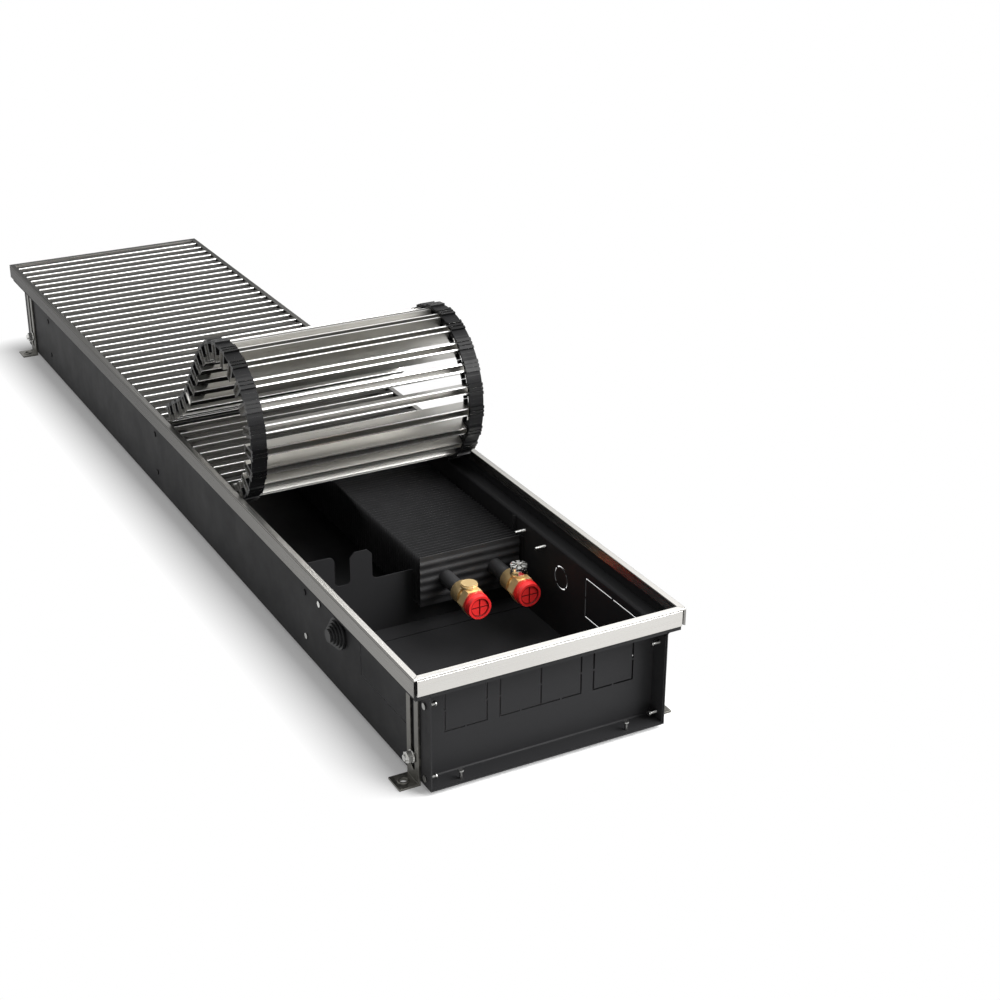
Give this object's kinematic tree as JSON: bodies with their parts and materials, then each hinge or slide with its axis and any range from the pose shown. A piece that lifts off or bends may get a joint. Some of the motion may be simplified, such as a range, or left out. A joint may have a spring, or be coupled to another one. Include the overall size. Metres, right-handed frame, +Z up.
{
  "type": "trench convector heater",
  "caption": "Floor trench convector: black sheet trench, finned core with capped connections, aluminium edge frame and a roll-up slat grille shown part rolled back.",
  "frame": {"origin": "middle of the footprint at the underside of the feet", "axes": "+X to the side with the core, +Y along the trench away from the connection end, +Z up"},
  "size_m": [0.2696, 1.226, 0.2591],
  "materials": {
    "black_sheet": "satin black powder coat",
    "frame_aluminium": "brushed, natural anodised",
    "slat_aluminium": "satin, natural anodised",
    "comb_rubber": "matte",
    "black_fins": "matte black paint on aluminium",
    "tube_black": "matte black paint on copper",
    "rivet_steel": "bright zinc plated",
    "fitting_brass": "turned",
    "nickel": "nickel plated",
    "red_plastic": "matte",
    "grommet_rubber": "matte",
    "zinc_steel": "bright zinc plated",
    "foot_steel": "galvanised sheet"
  },
  "bodies": {
    "casing": {"casing_tray": "black_sheet", "casing_upstand_left": "black_sheet", "casing_upstand_right": "black_sheet", "end_plate_front": "black_sheet", "end_plate_rear": "black_sheet", "frame_rail_front": "frame_aluminium", "frame_rail_rear": "frame_aluminium", "frame_rail_left": "frame_aluminium", "frame_rail_right": "frame_aluminium", "fin_pack": "black_fins", "core_tubes": "tube_black", "return_bend": "tube_black", "core_plate_front": "black_fins", "core_plate_rear": "black_fins", "cross_brace_front": "black_sheet", "cross_brace_middle": "black_sheet", "cross_brace_rear": "black_sheet", "brace_rivets": "rivet_steel", "fitting_flow": "fitting_brass", "fitting_return": "fitting_brass", "vent_plug": "fitting_brass", "bleed_valve": "nickel", "cable_grommet": "grommet_rubber", "earth_studs": "zinc_steel", "end_plate_screws": "zinc_steel", "foot_bolts": "zinc_steel", "foot_bolt_nuts": "zinc_steel"},
    "laid_grille": {"laid_slats": "slat_aluminium", "laid_comb_left": "comb_rubber", "laid_comb_right": "comb_rubber"},
    "slat_21": {"grille_slat_21": "slat_aluminium"},
    "slat_20": {"grille_slat_20": "slat_aluminium"},
    "slat_19": {"grille_slat_19": "slat_aluminium"},
    "slat_18": {"grille_slat_18": "slat_aluminium"},
    "slat_17": {"grille_slat_17": "slat_aluminium"},
    "slat_16": {"grille_slat_16": "slat_aluminium"},
    "slat_15": {"grille_slat_15": "slat_aluminium"},
    "slat_14": {"grille_slat_14": "slat_aluminium"},
    "slat_13": {"grille_slat_13": "slat_aluminium"},
    "slat_12": {"grille_slat_12": "slat_aluminium"},
    "slat_11": {"grille_slat_11": "slat_aluminium"},
    "slat_10": {"grille_slat_10": "slat_aluminium"},
    "slat_09": {"grille_slat_09": "slat_aluminium"},
    "slat_08": {"grille_slat_08": "slat_aluminium"},
    "slat_07": {"grille_slat_07": "slat_aluminium"},
    "slat_06": {"grille_slat_06": "slat_aluminium"},
    "slat_05": {"grille_slat_05": "slat_aluminium"},
    "slat_04": {"grille_slat_04": "slat_aluminium"},
    "slat_03": {"grille_slat_03": "slat_aluminium"},
    "slat_02": {"grille_slat_02": "slat_aluminium"},
    "slat_01": {"grille_slat_01": "slat_aluminium"},
    "foot_front_left": {"foot_front_left": "foot_steel"},
    "foot_front_right": {"foot_front_right": "foot_steel"},
    "foot_rear_left": {"foot_rear_left": "foot_steel"},
    "foot_rear_right": {"foot_rear_right": "foot_steel"},
    "cap_flow": {"cap_flow": "red_plastic"},
    "cap_return": {"cap_return": "red_plastic"},
    "bleed_screw": {"bleed_screw": "nickel"}
  },
  "joints": [
    {"name": "grille_lift", "type": "slide", "parent": "casing", "child": "laid_grille", "axis": [0, 0, 1], "range_m": [0, 0.06]},
    {"name": "slat_hinge_21", "type": "hinge", "parent": "laid_grille", "child": "slat_21", "pos_m": [0, -0.1881, 0.1108], "axis": [1, 0, 0], "range_deg": [0, 19]},
    {"name": "slat_hinge_20", "type": "hinge", "parent": "slat_21", "child": "slat_20", "pos_m": [0, -0.20682, 0.11725], "axis": [1, 0, 0], "range_deg": [0, 16.8]},
    {"name": "slat_hinge_19", "type": "hinge", "parent": "slat_20", "child": "slat_19", "pos_m": [0, -0.22288, 0.12883], "axis": [1, 0, 0], "range_deg": [0, 16.8]},
    {"name": "slat_hinge_18", "type": "hinge", "parent": "slat_19", "child": "slat_18", "pos_m": [0, -0.23491, 0.14456], "axis": [1, 0, 0], "range_deg": [0, 16.8]},
    {"name": "slat_hinge_17", "type": "hinge", "parent": "slat_18", "child": "slat_17", "pos_m": [0, -0.24187, 0.16309], "axis": [1, 0, 0], "range_deg": [0, 16.8]},
    {"name": "slat_hinge_16", "type": "hinge", "parent": "slat_17", "child": "slat_16", "pos_m": [0, -0.24319, 0.18285], "axis": [1, 0, 0], "range_deg": [0, 16.8]},
    {"name": "slat_hinge_15", "type": "hinge", "parent": "slat_16", "child": "slat_15", "pos_m": [0, -0.23873, 0.20214], "axis": [1, 0, 0], "range_deg": [0, 16.8]},
    {"name": "slat_hinge_14", "type": "hinge", "parent": "slat_15", "child": "slat_14", "pos_m": [0, -0.22889, 0.21932], "axis": [1, 0, 0], "range_deg": [0, 16.8]},
    {"name": "slat_hinge_13", "type": "hinge", "parent": "slat_14", "child": "slat_13", "pos_m": [0, -0.21451, 0.23293], "axis": [1, 0, 0], "range_deg": [0, 16.8]},
    {"name": "slat_hinge_12", "type": "hinge", "parent": "slat_13", "child": "slat_12", "pos_m": [0, -0.1968, 0.24179], "axis": [1, 0, 0], "range_deg": [0, 16.8]},
    {"name": "slat_hinge_11", "type": "hinge", "parent": "slat_12", "child": "slat_11", "pos_m": [0, -0.17729, 0.24516], "axis": [1, 0, 0], "range_deg": [0, 16.8]},
    {"name": "slat_hinge_10", "type": "hinge", "parent": "slat_11", "child": "slat_10", "pos_m": [0, -0.15764, 0.24275], "axis": [1, 0, 0], "range_deg": [0, 16.8]},
    {"name": "slat_hinge_09", "type": "hinge", "parent": "slat_10", "child": "slat_09", "pos_m": [0, -0.13952, 0.23476], "axis": [1, 0, 0], "range_deg": [0, 16.8]},
    {"name": "slat_hinge_08", "type": "hinge", "parent": "slat_09", "child": "slat_08", "pos_m": [0, -0.12449, 0.22187], "axis": [1, 0, 0], "range_deg": [0, 8.5]},
    {"name": "slat_hinge_07", "type": "hinge", "parent": "slat_08", "child": "slat_07", "pos_m": [0, -0.11152, 0.20691], "axis": [1, 0, 0], "range_deg": [0, 3]},
    {"name": "slat_hinge_06", "type": "hinge", "parent": "slat_07", "child": "slat_06", "pos_m": [0, -0.09936, 0.19128], "axis": [1, 0, 0], "range_deg": [0, 1]},
    {"name": "slat_hinge_05", "type": "hinge", "parent": "slat_06", "child": "slat_05", "pos_m": [0, -0.08747, 0.17545], "axis": [1, 0, 0], "range_deg": [-6.09, 0]},
    {"name": "slat_hinge_04", "type": "hinge", "parent": "slat_05", "child": "slat_04", "pos_m": [0, -0.07397, 0.16097], "axis": [1, 0, 0], "range_deg": [-9, 0]},
    {"name": "slat_hinge_03", "type": "hinge", "parent": "slat_04", "child": "slat_03", "pos_m": [0, -0.05837, 0.14878], "axis": [1, 0, 0], "range_deg": [-9, 0]},
    {"name": "slat_hinge_02", "type": "hinge", "parent": "slat_03", "child": "slat_02", "pos_m": [0, -0.04105, 0.13917], "axis": [1, 0, 0], "range_deg": [-2, 0]},
    {"name": "slat_hinge_01", "type": "hinge", "parent": "slat_02", "child": "slat_01", "pos_m": [0, -0.02341, 0.13018], "axis": [1, 0, 0], "range_deg": [0, 5]},
    {"name": "foot_slide_front_left", "type": "slide", "parent": "casing", "child": "foot_front_left", "axis": [0, 0, 1], "range_m": [-0.06, 0]},
    {"name": "foot_slide_front_right", "type": "slide", "parent": "casing", "child": "foot_front_right", "axis": [0, 0, 1], "range_m": [-0.06, 0]},
    {"name": "foot_slide_rear_left", "type": "slide", "parent": "casing", "child": "foot_rear_left", "axis": [0, 0, 1], "range_m": [-0.06, 0]},
    {"name": "foot_slide_rear_right", "type": "slide", "parent": "casing", "child": "foot_rear_right", "axis": [0, 0, 1], "range_m": [-0.06, 0]},
    {"name": "cap_pull_flow", "type": "slide", "parent": "casing", "child": "cap_flow", "axis": [0, -1, 0], "range_m": [0, 0.03]},
    {"name": "cap_pull_return", "type": "slide", "parent": "casing", "child": "cap_return", "axis": [0, -1, 0], "range_m": [0, 0.03]},
    {"name": "bleed_turn", "type": "hinge", "parent": "casing", "child": "bleed_screw", "pos_m": [0.0815, -0.4055, 0.07715], "axis": [0, 0, 1], "range_deg": [0, 180]}
  ],
  "couplings": [
    {"joint": "slat_hinge_05", "follows": "slat_hinge_09", "ratio": -0.36268},
    {"joint": "slat_hinge_04", "follows": "slat_hinge_09", "ratio": -0.53571},
    {"joint": "slat_hinge_03", "follows": "slat_hinge_09", "ratio": -0.53571},
    {"joint": "slat_hinge_02", "follows": "slat_hinge_09", "ratio": -0.11905}
  ]
}
